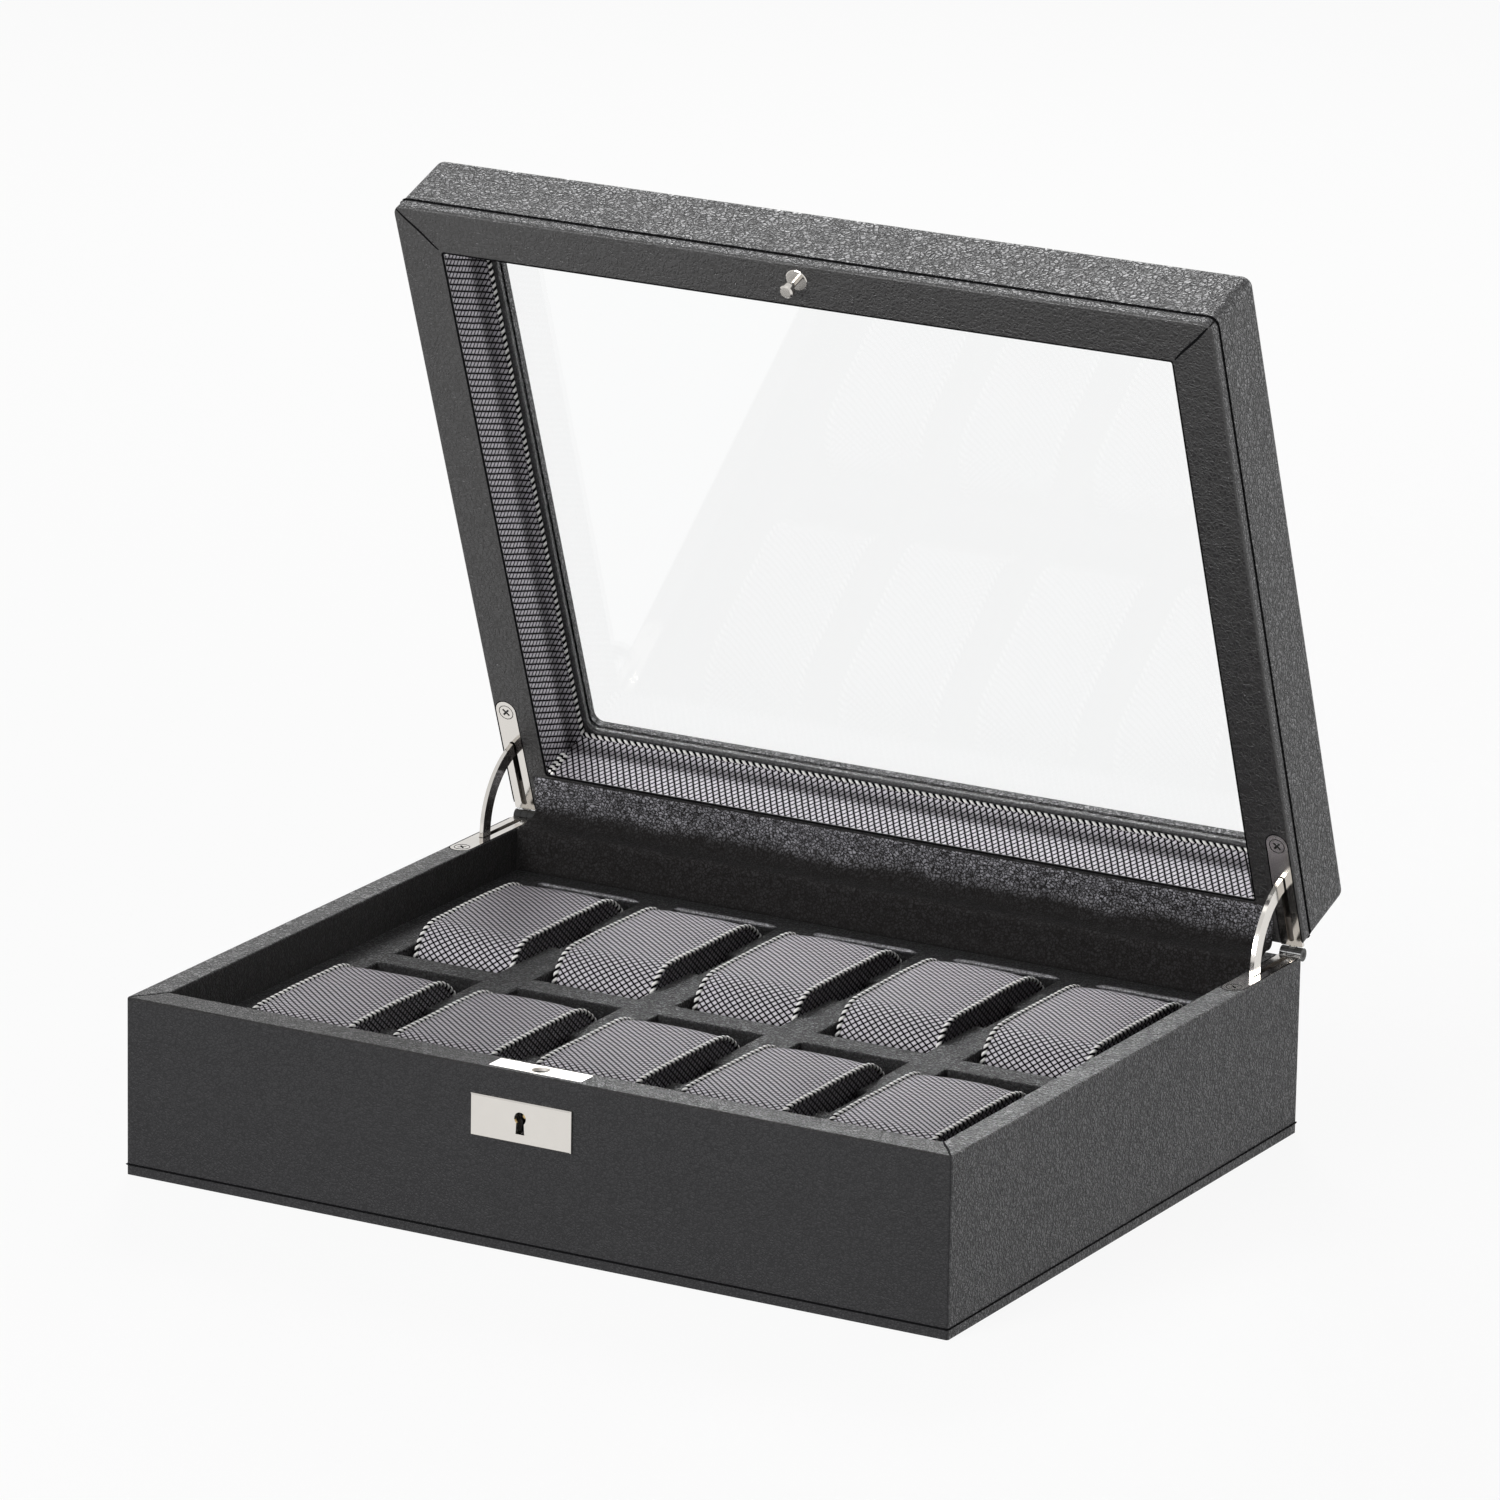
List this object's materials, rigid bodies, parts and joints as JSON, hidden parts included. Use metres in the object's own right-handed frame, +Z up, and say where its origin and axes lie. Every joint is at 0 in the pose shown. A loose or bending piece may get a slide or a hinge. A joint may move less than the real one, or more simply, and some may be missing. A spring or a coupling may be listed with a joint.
{
  "type": "watch box",
  "caption": "Leather-covered watch box with a hinged glazed lid on curved stays, a lock, and lift-out cushions in a tray of cells.",
  "frame": {"origin": "centre of the base's underside, where the box rests", "axes": "+Z up, -Y towards the lock at the front, +X to the right as seen from the front"},
  "size_m": [0.34, 0.3078, 0.338],
  "materials": {
    "black_leather": "pebbled grain, satin",
    "dark_lining": "fine smooth grain, matt",
    "board": "raw fibreboard",
    "grey_weave": "diamond weave with twisted piping",
    "felt": "short black nap",
    "clear_glass": "clear, polished",
    "nickel": "polished nickel plate",
    "steel": "zinc plated",
    "brass_post": "turned"
  },
  "bodies": {
    "base": {"base_back_board": "board", "base_back_leather": "black_leather", "base_floor_board": "board", "base_front_board": "board", "base_front_leather": "black_leather", "base_hinge_screws": "nickel", "base_leaf_left": "nickel", "base_leaf_right": "nickel", "base_left_board": "board", "base_left_leather": "black_leather", "base_right_board": "board", "base_right_leather": "black_leather", "bottom_felt": "felt", "cell_floor_pads": "felt", "hinge_pin_left": "steel", "hinge_pin_right": "steel", "hinge_strip": "black_leather", "key_post": "brass_post", "lock_case": "steel", "lock_plate": "nickel", "strike_plate": "nickel", "tray_centre_bar": "board", "tray_dividers": "board", "tray_end_bars": "board", "tray_leather": "dark_lining", "tray_side_bars": "board"},
    "lid": {"lid_back_lining": "grey_weave", "lid_back_rail": "board", "lid_back_rim_leather": "black_leather", "lid_front_lining": "grey_weave", "lid_front_rail": "board", "lid_front_rim_leather": "black_leather", "lid_glass": "clear_glass", "lid_hinge_screws": "nickel", "lid_leaf_left": "nickel", "lid_leaf_right": "nickel", "lid_left_lining": "grey_weave", "lid_left_rail": "board", "lid_left_rim_leather": "black_leather", "lid_right_lining": "grey_weave", "lid_right_rail": "board", "lid_right_rim_leather": "black_leather", "lid_top_frame": "board", "lid_wall_leather": "black_leather", "glass_retaining_frame": "black_leather", "catch_stud": "nickel"},
    "stay_left": {"stay_left": "nickel"},
    "stay_right": {"stay_right": "nickel"},
    "lock_bolt": {"lock_bolt": "steel"},
    "cushion_back_1": {"cushion_back_1": "grey_weave"},
    "cushion_back_2": {"cushion_back_2": "grey_weave"},
    "cushion_back_3": {"cushion_back_3": "grey_weave"},
    "cushion_back_4": {"cushion_back_4": "grey_weave"},
    "cushion_back_5": {"cushion_back_5": "grey_weave"},
    "cushion_front_1": {"cushion_front_1": "grey_weave"},
    "cushion_front_2": {"cushion_front_2": "grey_weave"},
    "cushion_front_3": {"cushion_front_3": "grey_weave"},
    "cushion_front_4": {"cushion_front_4": "grey_weave"},
    "cushion_front_5": {"cushion_front_5": "grey_weave"}
  },
  "joints": [
    {"name": "lid_hinge", "type": "hinge", "parent": "base", "child": "lid", "pos_m": [0, 0.1392, 0.0682], "axis": [-1, 0, 0], "range_deg": [-70, 25], "deforming": ["hinge_strip"]},
    {"name": "stay_left_swing", "type": "hinge", "parent": "base", "child": "stay_left", "pos_m": [0, 0.1392, 0.0682], "axis": [-1, 0, 0], "range_deg": [-35, 12.5]},
    {"name": "stay_right_swing", "type": "hinge", "parent": "base", "child": "stay_right", "pos_m": [0, 0.1392, 0.0682], "axis": [-1, 0, 0], "range_deg": [-35, 12.5]},
    {"name": "lock_bolt_throw", "type": "slide", "parent": "base", "child": "lock_bolt", "axis": [-1, 0, 0], "range_m": [0, 0.005]},
    {"name": "cushion_back_1_lift", "type": "slide", "parent": "base", "child": "cushion_back_1", "axis": [0, 0, 1], "range_m": [0, 0.06]},
    {"name": "cushion_back_2_lift", "type": "slide", "parent": "base", "child": "cushion_back_2", "axis": [0, 0, 1], "range_m": [0, 0.06]},
    {"name": "cushion_back_3_lift", "type": "slide", "parent": "base", "child": "cushion_back_3", "axis": [0, 0, 1], "range_m": [0, 0.06]},
    {"name": "cushion_back_4_lift", "type": "slide", "parent": "base", "child": "cushion_back_4", "axis": [0, 0, 1], "range_m": [0, 0.06]},
    {"name": "cushion_back_5_lift", "type": "slide", "parent": "base", "child": "cushion_back_5", "axis": [0, 0, 1], "range_m": [0, 0.06]},
    {"name": "cushion_front_1_lift", "type": "slide", "parent": "base", "child": "cushion_front_1", "axis": [0, 0, 1], "range_m": [0, 0.06]},
    {"name": "cushion_front_2_lift", "type": "slide", "parent": "base", "child": "cushion_front_2", "axis": [0, 0, 1], "range_m": [0, 0.06]},
    {"name": "cushion_front_3_lift", "type": "slide", "parent": "base", "child": "cushion_front_3", "axis": [0, 0, 1], "range_m": [0, 0.06]},
    {"name": "cushion_front_4_lift", "type": "slide", "parent": "base", "child": "cushion_front_4", "axis": [0, 0, 1], "range_m": [0, 0.06]},
    {"name": "cushion_front_5_lift", "type": "slide", "parent": "base", "child": "cushion_front_5", "axis": [0, 0, 1], "range_m": [0, 0.06]}
  ],
  "couplings": [
    {"joint": "stay_left_swing", "follows": "lid_hinge", "ratio": 0.5},
    {"joint": "stay_right_swing", "follows": "lid_hinge", "ratio": 0.5}
  ]
}
